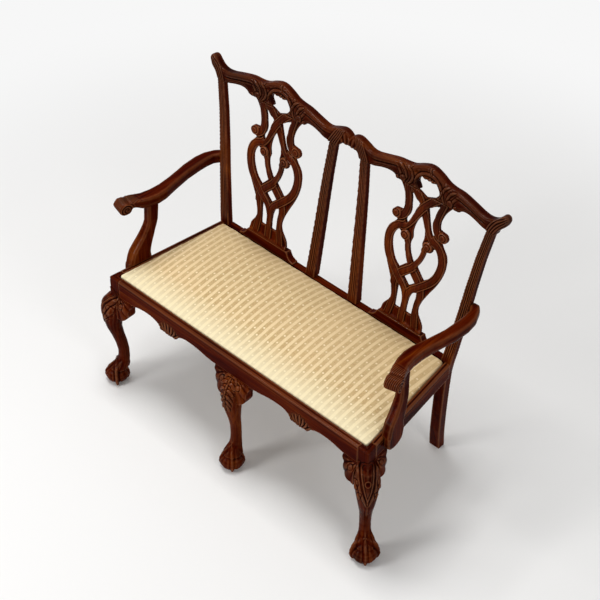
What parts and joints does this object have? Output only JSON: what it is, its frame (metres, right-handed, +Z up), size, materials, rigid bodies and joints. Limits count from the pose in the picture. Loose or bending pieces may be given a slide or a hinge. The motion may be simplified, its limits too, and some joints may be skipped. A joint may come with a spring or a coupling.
{
  "type": "chippendale settee",
  "caption": "Double chair-back settee with cabriole legs on ball-and-claw feet, pierced interlaced splats, serpentine crest, scrolled arms and a striped drop-in seat.",
  "frame": {"origin": "middle of the settee's footprint, on the floor", "axes": "+X towards the right end seen from in front, -Y towards the front, +Z up"},
  "size_m": [1.1718, 0.5933, 1.0327],
  "materials": {
    "mahogany": "glossy",
    "beech": "matte",
    "steel": "satin",
    "jute": "matte",
    "padding": "matte",
    "striped_cloth": "satin"
  },
  "bodies": {
    "frame": {"front_rail": "mahogany", "left_side_rail": "mahogany", "right_side_rail": "mahogany", "back_rail": "mahogany", "front_left_leg": "mahogany", "front_centre_leg": "mahogany", "front_right_leg": "mahogany", "front_left_knee_block_front": "mahogany", "front_left_knee_block_side": "mahogany", "front_right_knee_block_front": "mahogany", "front_right_knee_block_side": "mahogany", "centre_left_knee_block": "mahogany", "centre_right_knee_block": "mahogany", "left_back_leg_stile": "mahogany", "right_back_leg_stile": "mahogany", "left_inner_stile": "mahogany", "right_inner_stile": "mahogany", "crest_rail": "mahogany", "left_splat": "mahogany", "right_splat": "mahogany", "left_splat_shoe": "mahogany", "right_splat_shoe": "mahogany", "left_arm": "mahogany", "right_arm": "mahogany", "left_arm_support": "mahogany", "right_arm_support": "mahogany", "front_left_corner_block": "beech", "front_right_corner_block": "beech", "back_left_corner_block": "beech", "back_right_corner_block": "beech", "centre_seat_bearer": "beech", "front_left_block_screw_front": "steel", "front_left_block_screw_side": "steel", "back_left_block_screw_back": "steel", "back_left_block_screw_side": "steel", "left_support_screw_front": "steel", "left_support_screw_rear": "steel", "left_arm_screw": "steel", "front_right_block_screw_front": "steel", "front_right_block_screw_side": "steel", "back_right_block_screw_back": "steel", "back_right_block_screw_side": "steel", "right_support_screw_front": "steel", "right_support_screw_rear": "steel", "right_arm_screw": "steel"},
    "drop_in_seat": {"seat_frame_front": "beech", "seat_frame_back": "beech", "seat_frame_left": "beech", "seat_frame_right": "beech", "seat_frame_centre_bar": "beech", "seat_webbing": "jute", "seat_padding": "padding", "seat_cover": "striped_cloth"}
  },
  "joints": [
    {"name": "seat_lift", "type": "slide", "parent": "frame", "child": "drop_in_seat", "axis": [0, 0, 1], "range_m": [0, 0.3]}
  ]
}
